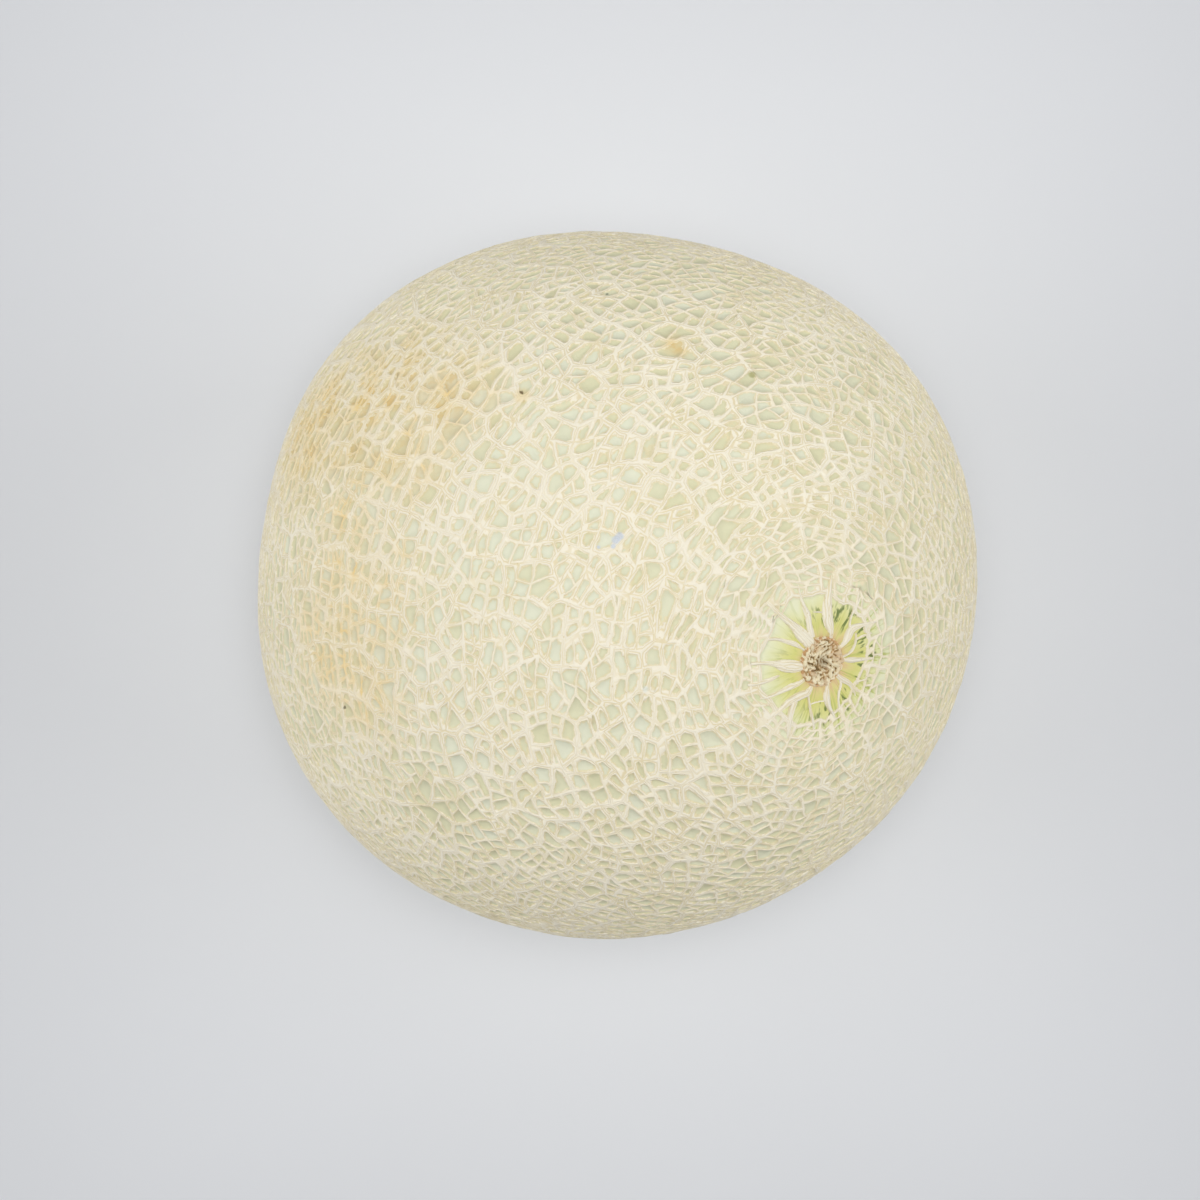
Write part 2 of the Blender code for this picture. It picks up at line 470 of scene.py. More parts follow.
def ringsIn(outline, widths):
    # inside a mesh's outline, rings at growing distances from the cords' crests; given back with
    # the spot that they close in on, the cords' widths as far as there is room, and that room
    middle = outline.mean(axis=0)
    outward = Vector(middle).normalized()
    east = np.array(outward.orthogonal().normalized())
    north = np.cross(np.array(outward), east)
    flat = np.stack([(outline - middle) @ east, (outline - middle) @ north], axis=1)
    clear = 1.0
    if stemArc(Vector(middle)) > netPlan["scarRadius"]:
        spot, clear = widestSpot(flat)
        flat = flat - spot
        middle = middle + spot[0] * east + spot[1] * north
    ends = np.roll(flat, -1, axis=0)
    shares = np.linspace(1, 0, 21)
    spots = flat[:, None, :] * shares[None, :, None]
    along = ends - flat
    length = np.maximum((along ** 2).sum(axis=1), 1e-14)
    offset = spots[:, :, None, :] - flat[None, None, :, :]
    part = np.clip((offset * along).sum(axis=3) / length, 0, 1)
    gap = offset - part[..., None] * along
    away = np.sqrt((gap ** 2).sum(axis=3)).min(axis=2)
    away = np.maximum.accumulate(away, axis=1)
    room = away[0, -1]
    if clear < 0.00002:  # too bent a mesh to have a middle that sees all of it, so it is filled
        room = 0.00005
    widths = np.minimum(widths, netProfile["mostOfMesh"] * room)
    rings = []
    for share in netProfile["ringShares"]:
        ring = np.array([np.interp(w * share, away[i], 1 - shares) for i, w in enumerate(widths)])
        rings.append(flat * (1 - ring)[:, None])
    rings = [middle + ring[:, :1] * east + ring[:, 1:] * north for ring in rings]
    return middle, rings, widths, room


netProfile = {
    "ringShares": (0.50, 0.82, 1.0),  # of a cord's half width, from its crest
    "ringHeights": (0.96, 0.74, 0.0),  # shares of the cord's rise over the skin
    "shallow": (0.00010, 0.00060),  # meshes with less room than this are filled up with cork
    "mostOfMesh": 0.62,  # cords take no more than this share of a mesh's room
    "thinRise": 0.55,  # a thin cord rises this share of a wide one's rise
    "thinToWide": (0.0003, 0.0008),
    "floorDome": 0.00008,
    # each mesh's tone, 0 pale to 1 olive: lowest, random spread, how much paler where the net is
    # coarse, and how much further than that region this goes
    "tones": (0.42, 0.80, 0.62, 1.4),
    "underScar": (0.0012, 0.0015),  # how far the collar sinks under the stem scar, over what length
    "collarRings": 18,
}


# the middles of the four pieces that the rind is made in, as far from each other as they can be
pieceWays = np.array([(0, 0, 1)] + [tuple(onRing(math.radians(109.47) * meanRadius, math.radians(turn)))
                                    for turn in (60, 180, 300)])


def smoothStep(x):
    x = np.clip(x, 0, 1)
    return x * x * (3 - 2 * x)


def finalWidths(places, widths):
    # the cords' half widths, bolder where the net is coarse and thin near the stem
    plan = netPlan
    vary = 0
    for (much, waves), shift in zip((plan["widthDrift"], plan["widthFlutter"]), ((3, 1, 4), (0, 0, 0))):
        spots = [Vector(place) * meanRadius * waves + Vector(shift) for place in places]
        vary += 2 * much * np.array([noise.noise(spot) for spot in spots])
    coarse = coarseness(places)
    even = plan["evenHalfWidth"]
    least, more = plan["unevenness"]
    widths = even + (widths - even) * (least + more * coarse)
    least, more = plan["boldness"]
    widths = widths * np.exp(vary) * (least + more * coarse)
    fromStem = anglesFrom(stem, places) * meanRadius
    share, start, reach = plan["thinAtStem"]
    return widths * (share + (1 - share) * smoothStep((fromStem - start) / reach))


def buildRind():
    # the whole rind as arrays: on the ball, places with their lift over the skin, and the values
    # that its finish reads; then faces, each with the piece that it belongs to
    plan, profile = netPlan, netProfile
    places, widths, outlines = fineNet()
    places = np.array([tuple(place) for place in places])
    print("net:", len(outlines), "meshes,", len(places), "places along the cords")
    rise = body["crestLift"] - body["skinLift"]
    widths = finalWidths(places, widths)
    sunk, slope = profile["underScar"]
    thin, wide = profile["thinToWide"]
    full = smoothStep((widths - thin) / (wide - thin))
    full = profile["thinRise"] + (1 - profile["thinRise"]) * full

    spots, lift = [places * meanRadius], [body["skinLift"] + rise * full]
    flat = np.zeros(len(places))
    values = {"across": [flat], "depth": [flat], "rim": [flat], "tone": [flat + 0.5], "width": [widths]}
    quads, quadPiece, fans, fanPiece = [], [], [], []
    count = len(places)
    draw = random.Random(plan["seed"] + 2)

    def addRing(ring, height, across, depth, rim, tone, width):
        nonlocal count
        n = len(ring)
        spots.append(ring)
        lift.append(np.zeros(n) + height)
        for key, value in zip(values, (across, depth, rim, tone, width)):
            values[key].append(np.zeros(n) + value)
        count += n
        return np.arange(count - n, count)

    def addRingInside(outer, part, *ring):
        inner = addRing(*ring)
        quads.append(np.stack([outer, np.roll(outer, -1), np.roll(inner, -1), inner], axis=1))
        quadPiece.append(np.full(len(outer), part))
        return inner

    for outline in outlines:
        crest = np.array(outline)
        middle, rings, narrow, room = ringsIn(places[crest] * meanRadius, widths[crest])
        isCollar = stemArc(Vector(middle)) < plan["scarRadius"]
        part = int(np.argmax(pieceWays @ middle))
        lowest, spread, paler, reach = profile["tones"]
        tone = lowest + spread * draw.random() - paler * coarseness(middle, reach)[0]
        tone = min(1.0, max(0.0, tone))
        low, high = profile["shallow"]
        filled = 1 - float(smoothStep((room - low) / (high - low)))
        last = crest
        for ring, share, height in zip(rings, profile["ringShares"], profile["ringHeights"]):
            height = height + (1 - height) * filled * share
            height = body["skinLift"] + rise * full[crest] * height
            last = addRingInside(last, part, ring, height, narrow * share, share, 0, tone, widths[crest])
        if isCollar:
            for k in range(1, profile["collarRings"]):
                share = 1 - k / profile["collarRings"]
                ring = middle + (rings[-1] - middle) * share
                under = (plan["scarRadius"] - np.linalg.norm(ring[:, :2], axis=1)) / slope
                height = body["skinLift"] - sunk * smoothStep(under)
                last = addRingInside(last, part, ring, height, narrow, 1, (1 - share) * room, tone, 0)
        rim = room if isCollar else max(0.0, room - float(narrow.mean()))
        height = body["skinLift"] + rise * filled * float(full[crest].mean())
        height += -sunk if isCollar else profile["floorDome"]
        peak = addRing(middle[None, :], height, float(narrow.mean()), 1, rim, tone, 0)
        fans.append(np.stack([last, np.roll(last, -1), np.full(len(last), peak[0])], axis=1))
        fanPiece.append(np.full(len(last), part))
    values = {key: np.concatenate(parts) for key, parts in values.items()}
    faces = [np.concatenate(parts) for parts in (quads, quadPiece, fans, fanPiece)]
    return np.concatenate(spots), np.concatenate(lift), values, faces


def giveValues(mesh, values):
    for key, numbers in values.items():
        made = mesh.attributes.new(key, "FLOAT", "POINT")
        made.data.foreach_set("value", np.asarray(numbers, np.float32))


def addMesh(name, places, faces, values):
    mesh = bpy.data.meshes.new(name)
    mesh.from_pydata(places.tolist(), [], faces)
    giveValues(mesh, values)
    mesh.shade_smooth()
    piece = bpy.data.objects.new(name, mesh)
    bpy.context.scene.collection.objects.link(piece)
    return piece


def makeRind():
    spots, lift, values, (quads, quadPiece, fans, fanPiece) = buildRind()
    places = setDown(spots, lift)
    # it is in four pieces, so that each stays light; they share their normals where they meet
    whole = addMesh("whole", places, quads.tolist() + fans.tolist(), {})
    normals = np.empty(len(places) * 3, np.float32)
    whole.data.vertices.foreach_get("normal", normals)
    normals = normals.reshape(-1, 3)
    bpy.data.meshes.remove(whole.data)
    pieces = []
    for part, name in enumerate(("rind_stem_end", "rind_side_1", "rind_side_2", "rind_side_3")):
        ownQuads, ownFans = quads[quadPiece == part], fans[fanPiece == part]
        used = np.unique(np.concatenate([ownQuads.ravel(), ownFans.ravel()]))
        place = np.full(len(places), -1)
        place[used] = np.arange(len(used))
        ownFaces = place[ownQuads].tolist() + place[ownFans].tolist()
        piece = addMesh(name, places[used], ownFaces, {key: value[used] for key, value in values.items()})
        piece.data.normals_split_custom_set_from_vertices([tuple(n) for n in normals[used].tolist()])
        layPicture(piece, spots[used], pieceWays[part])
        pieces.append(piece)
        print(name, 2 * len(ownQuads) + len(ownFans), "triangles")
    return pieces


def layPicture(piece, spots, way):
    # a flat map of one piece, spread evenly round its middle, for the baked picture of its finish
    spots = spots / np.linalg.norm(spots, axis=1)[:, None]
    east = np.array(Vector(way).orthogonal().normalized())
    north = np.cross(way, east)
    out = np.sin(anglesFrom(way, spots) / 2)
    turn = np.arctan2(spots @ north, spots @ east)
    flat = np.stack([out * np.cos(turn), out * np.sin(turn)], axis=1)
    low, high = flat.min(axis=0), flat.max(axis=0)
    flat = 0.5 + 0.984 * (flat - (low + high) / 2) / (high - low).max()
    corners = np.empty(len(piece.data.loops), np.int32)
    piece.data.loops.foreach_get("vertex_index", corners)
    layer = piece.data.uv_layers.new(name="OFBake")
    layer.uv.foreach_set("vector", flat[corners].astype(np.float32).ravel())


rindPieces = makeRind()


# places in millimetres in the picture, from the scar's middle: right, up, and half the ray's width
stemRays = {
    "rise": 0.0006,
    "step": 0.0006,
    "crossSection": (
        (-1.0, -0.25), (-0.82, 0.45), (-0.45, 0.92), (0.0, 1.0), (0.45, 0.92), (0.82, 0.45), (1.0, -0.25),
    ),
    "rays": (
        ((1.7, 4.4, 0.3), (1.6, 5.6, 0.5), (1.1, 7.2, 1.0), (0.65, 9.5, 1.1),
         (0.65, 12.1, 0.8), (0.9, 14.5, 0.43), (1.1, 16.3, 0.25)),
        ((-0.2, 9.3, 0.2), (-1.0, 9.4, 0.18), (-2.1, 9.4, 0.10)),
        ((3.4, 2.6, 0.3), (4.2, 3.5, 0.45), (4.8, 4.6, 0.75), (5.5, 6.1, 0.80),
         (6.9, 6.8, 0.55), (8.5, 7.2, 0.35), (10.3, 7.7, 0.25)),
        ((5.2, 6.6, 0.3), (5.1, 7.4, 0.2), (5.3, 8.7, 0.2), (6.1, 10.4, 0.25), (7.0, 12.2, 0.2)),
        ((3.9, 0.8, 0.2), (4.6, 1.2, 0.22), (5.7, 2.1, 0.25), (6.35, 3.8, 0.22), (6.4, 5.4, 0.2)),
        ((6.3, 4.0, 0.2), (7.5, 4.8, 0.24), (9.3, 5.4, 0.22)),
        ((3.6, 0.3, 0.3), (4.6, 0.3, 0.4), (5.5, 0.3, 0.6),
         (7.0, 0.4, 0.45), (8.5, 0.55, 0.3), (9.9, 0.7, 0.25)),
        ((2.9, -2.4, 0.4), (3.5, -3.0, 0.5), (4.4, -3.6, 0.6),
         (5.3, -4.1, 0.5), (6.1, -5.4, 0.25), (6.4, -6.4, 0.15)),
        ((3.6, -3.5, 0.25), (3.7, -4.3, 0.2), (3.3, -5.6, 0.2),
         (3.15, -7.3, 0.18), (3.4, -9.0, 0.2)),
        ((1.2, -3.8, 0.3), (1.1, -4.9, 0.35), (0.9, -6.6, 0.7),
         (1.3, -8.4, 0.5), (2.1, -9.9, 0.3), (2.5, -11.0, 0.25)),
        ((-2.6, -5.2, 0.25), (-2.7, -6.4, 0.2), (-2.4, -8.4, 0.28),
         (-1.85, -11.3, 0.3), (-1.7, -12.6, 0.25)),
        ((-2.3, -8.0, 0.15), (-1.0, -7.5, 0.15), (0.4, -7.4, 0.15)),
        ((-4.9, -6.6, 0.4), (-5.4, -7.4, 0.6), (-6.0, -8.8, 0.65),
         (-6.4, -10.6, 0.55), (-6.6, -12.6, 0.45), (-6.6, -14.2, 0.35)),
        ((-1.9, -4.6, 0.3), (-2.8, -5.7, 0.7), (-4.5, -6.4, 0.85),
         (-6.4, -7.3, 0.7), (-8.1, -8.6, 0.45), (-9.9, -10.2, 0.3)),
        ((-3.4, -3.3, 0.3), (-4.4, -3.9, 0.4), (-5.8, -4.4, 0.6),
         (-7.9, -5.3, 0.45), (-10.3, -6.2, 0.3), (-12.2, -6.6, 0.2)),
        ((-8.4, -2.4, 0.12), (-9.2, -2.7, 0.3), (-10.5, -3.2, 0.42),
         (-13.0, -3.8, 0.45), (-14.6, -4.0, 0.3)),
        ((-3.4, -0.8, 0.7), (-4.2, -0.85, 0.9), (-5.4, -0.8, 1.25), (-7.5, -0.6, 1.3),
         (-9.6, -0.15, 0.6), (-11.8, 0.0, 0.4), (-14.0, -0.1, 0.4)),
        ((-3.5, 2.2, 0.2), (-4.4, 2.8, 0.3), (-5.4, 3.4, 0.55),
         (-7.1, 3.9, 0.45), (-9.0, 4.4, 0.35), (-11.2, 4.4, 0.35)),
        ((-1.9, 3.0, 0.8), (-2.6, 3.7, 1.2), (-4.1, 5.1, 1.3), (-5.8, 6.8, 0.9),
         (-7.5, 8.1, 0.6), (-9.4, 9.7, 0.45), (-11.2, 11.4, 0.4)),
        ((-2.0, 4.6, 0.6), (-2.5, 5.9, 0.7), (-2.8, 7.2, 0.55), (-3.2, 8.9, 0.65),
         (-4.1, 10.8, 0.4), (-4.9, 12.8, 0.2), (-5.2, 14.4, 0.15)),
    ),
}


def smoothLine(points, step):
    # a smooth line through the points, by Catmull and Rom's rule, with a sample at each step
    points = np.array(points) * 0.001
    line = []
    for i in range(len(points) - 1):
        a, b = points[max(i - 1, 0)], points[i]
        c, d = points[i + 1], points[min(i + 2, len(points) - 1)]
        samples = max(2, round(float(np.linalg.norm((c - b)[:2])) / step))
        square, cube = 2 * a - 5 * b + 4 * c - d, 3 * b - a - 3 * c + d
        for t in np.arange(samples) / samples:
            line.append(0.5 * (2 * b + (c - a) * t + square * t * t + cube * t ** 3))
    line.append(points[-1])
    return np.array(line)


def turnOutwards(piece):
    bpy.ops.object.select_all(action="DESELECT")
    bpy.context.view_layer.objects.active = piece
    piece.select_set(True)
    bpy.ops.object.mode_set(mode="EDIT")
    bpy.ops.mesh.select_all(action="SELECT")
    bpy.ops.mesh.normals_make_consistent(inside=False)
    bpy.ops.object.mode_set(mode="OBJECT")


def makeStemRays():
    places, faces, across, depth = [], [], [], []
    section = stemRays["crossSection"]
    for ray in stemRays["rays"]:
        line = smoothLine(ray, stemRays["step"])
        ways = np.gradient(line[:, :2], axis=0)
        ways /= np.linalg.norm(ways, axis=1)[:, None]
        first = len(places)
        for i, (x, y, half) in enumerate(line):
            half = max(half, 0.00008)
            end = min(i, len(line) - 1 - i)
            high = stemRays["rise"] * min(1, 0.45 + half / 0.0011) * min(1, 0.35 + 0.3 * end)
            for side, height in section:
                spot = seenAt(x - ways[i, 1] * side * half, y + ways[i, 0] * side * half, fromStem=True)
                places.append((spot, body["skinLift"] + height * high))
                across.append(abs(side) * half)
                depth.append(0.84 * abs(side))
        n = len(section)
        for i in range(len(line) - 1):
            for j in range(n - 1):
                a = first + i * n + j
                faces.append((a, a + 1, a + n + 1, a + n))
    spots = np.array([tuple(spot) for spot, _ in places])
    lifts = np.array([lift for _, lift in places])
    values = {"across": across, "depth": depth, "rim": np.zeros(len(spots))}
    values.update(tone=np.full(len(spots), 0.5), width=np.full(len(spots), 0.0009))
    rays = addMesh("stem_rays", setDown(spots, lifts), faces, values)
    turnOutwards(rays)
    print("stem rays", 2 * len(faces), "triangles")
    return rays


rays = makeStemRays()


stemScar = {
    "radius": 0.0050,
    "rings": 34,
    "sides": 150,
    "rimLift": 0.0013,
    "bowlLift": 0.0009,
    "pit": (0.0006, -0.0003, 0.0011, 0.0006),  # place, radius and depth
    "crumb": 0.00065,
    "crumbSize": 0.00110,
}

blossomScar = {
    "radius": 0.0034,
    "rings": 20,
    "sides": 90,
    "rimLift": 0.0012,
    "bowlLift": 0.0010,
    "pit": (0.0, 0.0, 0.0009, 0.0006),
    "crumb": 0.0003,
    "crumbSize": 0.0009,
}


def makeScar(name, settings, pole):
    # a disc of crumbly cork: rings inset one after another, laid on the body, then roughened
    bpy.ops.object.select_all(action="DESELECT")
    radius, rim = settings["radius"], settings["rimLift"]
    bpy.ops.mesh.primitive_circle_add(vertices=settings["sides"], radius=radius, fill_type="NGON")
    scar = bpy.context.object
    scar.name = name
    scar.data.name = name
    bpy.ops.object.mode_set(mode="EDIT")
    bpy.ops.mesh.select_all(action="SELECT")
    for _ in range(settings["rings"] - 1):
        bpy.ops.mesh.inset(thickness=radius / settings["rings"] * 0.98)
    bpy.ops.mesh.poke()
    bpy.ops.object.mode_set(mode="OBJECT")
    pitX, pitY, pitRadius, pitDepth = settings["pit"]
    directions, lifts, reaches, crumbs = [], [], [], []
    for vert in scar.data.vertices:
        reach, turn = vert.co.xy.length, math.atan2(vert.co.y, vert.co.x)
        share = reach / radius
        spot = onRing(reach, turn)
        if pole < 0:
            spot = Vector((spot.x, -spot.y, -spot.z))
        crumbSpot = spot * meanRadius / settings["crumbSize"]
        ripple = noise.noise(crumbSpot)
        grain = noise.noise(crumbSpot * 2.3 + Vector((5, 2, 8)))
        crumb = abs(ripple) * 1.6 - 0.30 + 0.5 * grain  # cracks between rounded crumbs
        sway = noise.noise(Vector((math.cos(turn), math.sin(turn), 0)) * 2)
        lobes = 0.5 + 0.5 * math.cos(turn * 17 + 3 * sway)
        bowl = float(smoothStep(np.array((share - 0.55) / 0.3)))
        lift = settings["bowlLift"] + (rim - settings["bowlLift"]) * bowl * (0.75 + 0.25 * lobes)
        edge = float(smoothStep(np.array((share - 0.90) / 0.10)))
        lift += crumb * settings["crumb"] * (1 - edge)
        lift -= edge * (rim - body["skinLift"] + 0.0002)  # its edge is let into the skin
        away = math.hypot(vert.co.x - pitX, vert.co.y - pitY) / pitRadius
        lift -= pitDepth * math.exp(-away * away)
        directions.append(tuple(spot))
        lifts.append(lift)
        reaches.append(share)
        crumbs.append(crumb)
    places = setDown(directions, np.array(lifts))
    for vert, place in zip(scar.data.vertices, places):
        vert.co = place
    giveValues(scar.data, {"reach": reaches, "crumb": crumbs})
    turnOutwards(scar)
    bpy.ops.object.shade_smooth()
    print(name, len(scar.data.polygons), "faces")
    return scar


scarPiece = makeScar("stem_scar", stemScar, 1)
buttonPiece = makeScar("blossom_scar", blossomScar, -1)


def linear(red, green, blue):
    # a colour as it shows on a screen, 0 to 255, made into the values that a shader takes
    return tuple(((c / 255 + 0.055) / 1.055) ** 2.4 for c in (red, green, blue)) + (1.0,)


newest = {}  # the tree of the newest material; the functions below add their nodes to it


def newMaterial(name):
    material = bpy.data.materials.new(name)
    material.use_nodes = True
    newest["tree"] = material.node_tree
    return material, material.node_tree.nodes["Principled BSDF"]


def give(node, inputs):
    # sets each input to a value, or links it to a socket
    for key, value in inputs.items():
        if isinstance(value, bpy.types.NodeSocket):
            newest["tree"].links.new(value, node.inputs[key])
        else:
            node.inputs[key].default_value = value


def addNode(kind, inputs=None, **settings):
    made = newest["tree"].nodes.new("ShaderNode" + kind)
    for key, value in settings.items():
        setattr(made, key, value)
    give(made, inputs or {})
    return made


def vectorMath(operation, a, b, output="Value"):
    return addNode("VectorMath", {0: a, 1: b}, operation=operation).outputs[output]


def readValue(name):
    return addNode("Attribute", attribute_name=name).outputs["Fac"]


def maths(operation, a, b=0.0):
    return addNode("Math", {0: a, 1: b}, operation=operation).outputs[0]


def times(product, *others):
    for other in others:
        product = maths("MULTIPLY", product, other)
    return product


def ramp(value, low, high, start=0.0, end=1.0):
    inputs = {"Value": value, "From Min": low, "From Max": high, "To Min": start, "To Max": end}
    return addNode("MapRange", inputs, interpolation_type="SMOOTHSTEP").outputs["Result"]


def mixed(share, first, second):
    return addNode("Mix", {0: share, 6: first, 7: second}, data_type="RGBA").outputs[2]


def clouds(spot, size, detail=2.0, roughness=0.5, w=None):
    # soft noise whose features are about this many metres across; w shifts it once for each whole step
    inputs = {"Vector": spot, "Scale": 1 / size, "Detail": detail, "Roughness": roughness}
    if w is None:
        return addNode("TexNoise", inputs).outputs["Fac"]
    w = times(w, size)
    return addNode("TexNoise", dict(inputs, W=w), noise_dimensions="4D").outputs["Fac"]


def farFrom(spot, place):
    return vectorMath("DISTANCE", spot, place)


rindFinish = {
    "corkPale": linear(228, 221, 202),
    "corkWarm": linear(233, 226, 206),
    "corkThin": linear(227, 219, 196),
    "corkTan": linear(232, 223, 199),
    "corkLine": linear(213, 199, 160),
    "pits": linear(198, 174, 122),
    # the cords' steep sides, darker than their crests: partly the cork's own tan, partly painted shade
    "wall": linear(220, 209, 175),
    # the rim at the foot of the cords: partly the cork's own tan, partly painted shade
    "rim": linear(215, 204, 164),
    "floorPale": linear(212, 213, 190),
    "floorOlive": linear(206, 203, 167),
    "rimWidth": 0.00026,
    "lineSpacing": 0.00052,
    "lineStrength": 0.85,
    # the blush: right and up in the picture from the melon's middle, and its radius, in millimetres,
    # then how much of it the floors of the meshes take
    "blush": (
        (-62, 33, 13, 0.95), (-50, 37, 14, 0.95), (-37, 38, 10, 0.80), (-44, 26, 9, 0.60),
        (-54, 13, 9, 0.40), (-55, -2, 12, 0.35), (-58, -13, 11, 0.40), (-52, -22, 8, 0.35),
        (12.7, 48.5, 2, 0.90),
    ),
    "blushCork": linear(228, 201, 138),
    "blushFloor": linear(209, 177, 112),
    # stray marks, by the same measures: place, radius, colour, and how much of it shows
    "marks": (
        ((-19.0, 38.2), 1.9, linear(222, 196, 128), 0.45),
        ((-19.3, 38.8), 0.60, linear(96, 74, 40), 0.9),
        ((-56.3, -26.4), 0.35, linear(90, 84, 60), 0.8),
        ((-1.4, 59.8), 0.35, linear(84, 96, 78), 0.8),
        ((28.4, 42.2), 0.9, linear(150, 150, 92), 0.75),
        ((44.6, 33.6), 0.5, linear(160, 148, 92), 0.7),
        ((1.1, 8.9), 0.85, linear(190, 198, 209), 0.8),
        ((0.3, 8.0), 0.80, linear(190, 198, 209), 0.8),
        ((-0.2, 6.9), 0.55, linear(190, 198, 209), 0.8),
        ((-3.3, 6.8), 0.50, linear(190, 198, 209), 0.8),
        ((6.4, -22.0), 0.8, linear(200, 210, 206), 0.6),
    ),
    # the smooth collar, from the stem scar outwards
    "collar": (
        (0.0048, linear(206, 180, 132)),
        (0.0062, linear(208, 196, 132)),
        (0.0080, linear(202, 200, 120)),
        (0.0100, linear(208, 206, 138)),
        (0.0125, linear(214, 214, 166)),
        (0.0150, linear(217, 218, 186)),
    ),
    "collarRange": 0.020,
    "collarGreen": linear(172, 180, 88),
    "streak": linear(86, 106, 42),
}


def makeRindMaterial():
    finish = rindFinish
    material, shader = newMaterial("netted rind")
    spot = addNode("TexCoord").outputs["Object"]
    across, depth, rim, tone, width = map(readValue, ("across", "depth", "rim", "tone", "width"))

    # cords: cream cork, finely lined along its length, warmer in some regions
    region = clouds(spot, 0.030, 1.0)
    mottle = clouds(spot, 0.0022, 3.0, 0.6)
    sway = clouds(spot, 0.0045, 2.0, 0.6)
    turns = maths("ADD", maths("DIVIDE", across, finish["lineSpacing"]), times(sway, 2.2))
    lines = maths("COSINE", times(turns, math.tau))
    x, y, reach = netPlan["coarsest"]
    palest = onSkin(seenAt(x * 0.001, y * 0.001))
    palestAway = farFrom(spot, palest)
    warm = times(ramp(region, 0.40, 0.60), ramp(palestAway, 0.020, 0.065))
    cork = mixed(warm, finish["corkPale"], finish["corkWarm"])
    thin = mixed(ramp(palestAway, 0.030, 0.070), finish["corkThin"], finish["corkTan"])
    cork = mixed(ramp(width, 0.00026, 0.00062), thin, cork)
    fading = ramp(clouds(spot, 0.0070, 1.0), 0.35, 0.60, 0.35, 1.0)
    lineShare = times(ramp(lines, -0.1, -0.9), finish["lineStrength"], fading)
    cork = mixed(lineShare, cork, finish["corkLine"])
    cork = mixed(ramp(mottle, 0.50, 0.75, 0.0, 0.30), cork, finish["corkWarm"])
    specks = clouds(spot, 0.00065, 2.0, 0.6)
    cork = mixed(ramp(specks, 0.64, 0.74, 0.0, 0.55), cork, finish["pits"])

    # floors: a tan rim here and there at the cords' foot, partly the cork's own tan and partly painted
    # shade, then pale grey-green or olive skin
    floor = mixed(ramp(tone, 0.1, 0.9), finish["floorPale"], finish["floorOlive"])
    torn = maths("SUBTRACT", clouds(spot, 0.0009, 2.0, 0.6), 0.5)
    inside = maths("SUBTRACT", rim, times(maths("SUBTRACT", 1.0, depth), 0.00060))
    inside = maths("ADD", inside, times(torn, 0.0008))  # below 0 on the cords
    ragged = ramp(sway, 0.42, 0.58, 0.15, 0.9)
    rimTanAndShade = times(ramp(inside, finish["rimWidth"], 0.0), ragged)
    floor = mixed(rimTanAndShade, floor, finish["rim"])

    # blush: on the thin cords most of all, and on the floors where the list says so
    blush = 0.0
    floorBlush = 0.0
    for x, y, radius, floorShare in finish["blush"]:
        place = onSkin(seenAt(x * 0.001, y * 0.001))
        near = ramp(farFrom(spot, place), 0.0, radius * 0.0021, 1.0, 0.0)
        blush = maths("MAXIMUM", blush, near)
        floorBlush = maths("MAXIMUM", floorBlush, times(near, floorShare))
    patches = clouds(spot, 0.0075, 2.0, 0.55)
    broken = times(ramp(patches, 0.30, 0.62, 0.45, 1.0), ramp(mottle, 0.35, 0.60, 0.55, 1.0))
    floor = mixed(times(floorBlush, broken), floor, finish["blushFloor"])
    onThin = ramp(width, 0.00030, 0.00080, 0.95, 0.32)
    cork = mixed(times(blush, broken, onThin), cork, finish["blushCork"])

    # collar: coloured by the way out from the stem's middle, with dark green flecks at its edge
    centre = onSkin(stem)
    out = farFrom(spot, centre)
    away = vectorMath("SUBTRACT", spot, centre, "Vector")
    way = addNode("VectorMath", {0: away}, operation="NORMALIZE").outputs[0]
    lowRight = pictureRight * 0.80 - pictureUp * 0.45
    lowRight = tuple(lowRight / lowRight.length)
    side = vectorMath("DOT_PRODUCT", away, lowRight)
    shifted = maths("ADD", out, times(side, -0.14))
    uneven = clouds(way, 0.16, 2.0, 0.5)
    shifted = maths("ADD", shifted, times(maths("SUBTRACT", uneven, 0.5), 0.006))
    bands = addNode("ValToRGB", {0: maths("DIVIDE", shifted, finish["collarRange"])})
    stops = bands.color_ramp.elements
    while len(stops) < len(finish["collar"]):
        stops.new(0.5)
    for stop, (reach, colour) in zip(stops, finish["collar"]):
        stop.position = reach / finish["collarRange"]
        stop.color = colour
    collar = bands.outputs["Color"]
    rays = clouds(way, 0.055, 2.0, 0.6, times(out, 120))
    green = times(ramp(rays, 0.52, 0.66), ramp(side, -0.006, 0.008, 0.25, 0.8))
    collar = mixed(green, collar, finish["collarGreen"])
    flecks = clouds(way, 0.095, 2.0, 0.6, times(out, 330))
    rightward = vectorMath("DOT_PRODUCT", away, tuple(pictureRight))
    band = times(ramp(shifted, 0.0070, 0.0088), ramp(shifted, 0.0130, 0.0108),
                 ramp(rightward, -0.006, 0.001, 0.2, 1.0))
    fleck = times(ramp(flecks, 0.52, 0.61), band, 0.9)
    collar = mixed(fleck, collar, finish["streak"])
    floor = mixed(ramp(out, 0.0185, 0.0150), floor, collar)

    # the cords' steep sides in the darker wall colour, partly painted shade; then the floors
    colour = mixed(ramp(inside, -0.00016, -0.00006), cork, finish["wall"])
    colour = mixed(ramp(inside, -0.00006, 0.00004), colour, floor)
    smudge = times(maths("SUBTRACT", mottle, 0.5), 0.0012)
    for (x, y), radius, tint, strength in finish["marks"]:
        place = onSkin(seenAt(x * 0.001, y * 0.001))
        reach = maths("ADD", farFrom(spot, place), smudge)
        shown = ramp(reach, radius * 0.0005, radius * 0.0012, strength, 0.0)
        colour = mixed(shown, colour, tint)

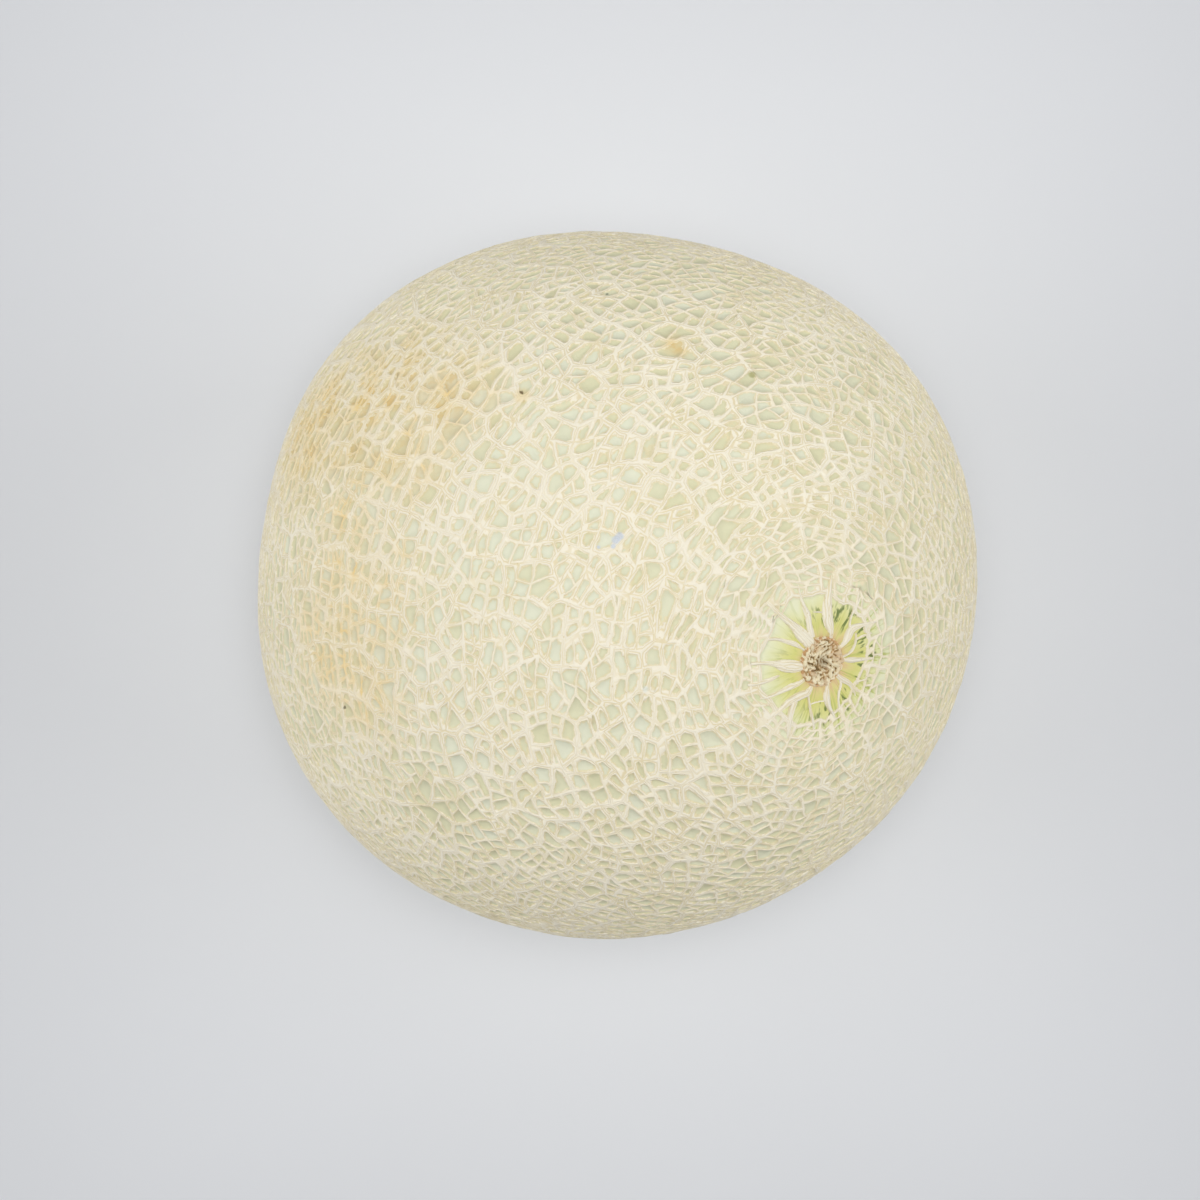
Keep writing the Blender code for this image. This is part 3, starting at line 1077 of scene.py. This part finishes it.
    grain = clouds(spot, 0.00045, 3.0, 0.6)
    relief = times(lines, ramp(depth, 0.85, 1.0, 0.4, 0.0))
    relief = maths("ADD", relief, times(grain, 0.6))
    bump = addNode("Bump", {"Height": relief, "Distance": 0.00016, "Strength": 0.7}).outputs[0]
    roughness = ramp(depth, 0.7, 1.0, 0.85, 0.64)
    give(shader, {"Base Color": colour, "Roughness": roughness, "Normal": bump})
    return material


scarFinish = {
    "cream": linear(234, 222, 190),
    "brown": linear(176, 148, 100),
    "dark": linear(112, 90, 52),
    "rust": linear(200, 158, 112),
}


def makeScarMaterial():
    finish = scarFinish
    material, shader = newMaterial("crumbly scar")
    spot = addNode("TexCoord").outputs["Object"]
    reach = readValue("reach")
    crumb = readValue("crumb")
    grains = clouds(spot, 0.00040, 3.0, 0.65)
    crumbs = maths("ADD", crumb, times(maths("SUBTRACT", grains, 0.5), 0.9))
    large = clouds(spot, 0.0018, 2.0, 0.5)
    colour = mixed(ramp(crumbs, -0.24, 0.02), finish["brown"], finish["cream"])
    colour = mixed(ramp(crumbs, -0.22, -0.42), colour, finish["dark"])
    rust = times(ramp(large, 0.48, 0.62), 0.45)
    colour = mixed(rust, colour, finish["rust"])
    rim = times(ramp(reach, 0.80, 0.94), ramp(crumbs, 0.10, -0.05))
    colour = mixed(rim, colour, finish["rust"])
    colour = mixed(times(ramp(reach, 0.40, 0.10), 0.45), colour, finish["dark"])
    bump = addNode("Bump", {"Height": crumbs, "Distance": 0.0004, "Strength": 0.8}).outputs[0]
    give(shader, {"Base Color": colour, "Roughness": 0.9, "Normal": bump})
    return material


rindMaterial = makeRindMaterial()
scarMaterial = makeScarMaterial()
for piece, material, slot in (
    *((piece, rindMaterial, "rind") for piece in rindPieces),
    (rays, rindMaterial, "cork_net"),
    (scarPiece, scarMaterial, "scar"),
    (buttonPiece, scarMaterial, "scar"),
):
    piece.data.materials.append(material)
    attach(piece, "root")
    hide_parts("melon")
print("pieces finished")


studio = {
    "floor": linear(216, 218, 222),
    "world": 0.39,
    # right and up in the picture, height, size, watts
    "lamps": (
        ("left lamp", -1.1, 0.0, 0.9, 1.0, 4.5),
        ("right lamp", 1.1, 0.0, 0.9, 1.0, 5.25),
        ("low left lamp", -1.0, 0.0, 0.25, 0.4, 1.73),
        ("low right lamp", 1.0, 0.0, 0.25, 0.4, 1.0),
        ("low far lamp", 0.0, 1.0, 0.25, 0.4, 1.77),
        ("low near lamp", 0.0, -1.0, 0.25, 0.4, 1.03),
    ),
    # over the camera, so that their shadows are out of its sight: right and up in the picture,
    # the same for the spot they point at on the floor, size, watts
    "spots": (
        ("spot", 0.0, 0.0, 0.0, 0.0, 0.12, 11.0),
        ("far spot", 0.05, 0.12, 0.02, 0.05, 0.12, 3.55),
    ),
    "spotHeight": 0.95,
    "spotCone": 30,
}

bpy.ops.object.select_all(action="DESELECT")
bpy.ops.mesh.primitive_plane_add(size=4)
ground = bpy.context.object
ground.name = "floor"
groundMaterial, groundShader = newMaterial("pale floor")
give(groundShader, {"Base Color": studio["floor"], "Roughness": 0.8})
ground.data.materials.append(groundMaterial)

offset = (pictureRight * view["middleX"] + pictureUp * view["middleY"]) * 0.001 / view["pixelsPerMm"]
bpy.ops.object.camera_add(
    location=Vector((0, 0, body["middle"][2] + view["distance"])) - offset,
    rotation=(0, 0, math.radians(view["roll"])),
)
camera = bpy.context.object
camera.data.sensor_width = 36
camera.data.lens = view["focalPixels"] / 1200 * 36
bpy.context.scene.camera = camera


def addLamp(kind, name, place, target, watts):
    bpy.ops.object.light_add(type=kind, location=place)
    lamp = bpy.context.object
    lamp.name = name
    lamp.rotation_euler = (Vector(target) - Vector(place)).to_track_quat("-Z", "Y").to_euler()
    lamp.data.energy = watts
    return lamp.data


for name, right, up, height, size, watts in studio["lamps"]:
    place = pictureRight * right + pictureUp * up + Vector((0, 0, height))
    lamp = addLamp("AREA", name, place, (0, 0, 0.06), watts)
    lamp.shape = "SQUARE"
    lamp.size = size
for name, right, up, targetRight, targetUp, size, watts in studio["spots"]:
    place = pictureRight * right + pictureUp * up + Vector((0, 0, studio["spotHeight"]))
    lamp = addLamp("SPOT", name, place, pictureRight * targetRight + pictureUp * targetUp, watts)
    lamp.shadow_soft_size = size
    lamp.spot_size = math.radians(studio["spotCone"])
    lamp.spot_blend = 1.0
world = bpy.data.worlds.new("studio")
bpy.context.scene.world = world
world.use_nodes = True
world.node_tree.nodes["Background"].inputs["Color"].default_value = (1, 1, 1, 1)
world.node_tree.nodes["Background"].inputs["Strength"].default_value = studio["world"]
bpy.context.scene.view_settings.view_transform = "Standard"
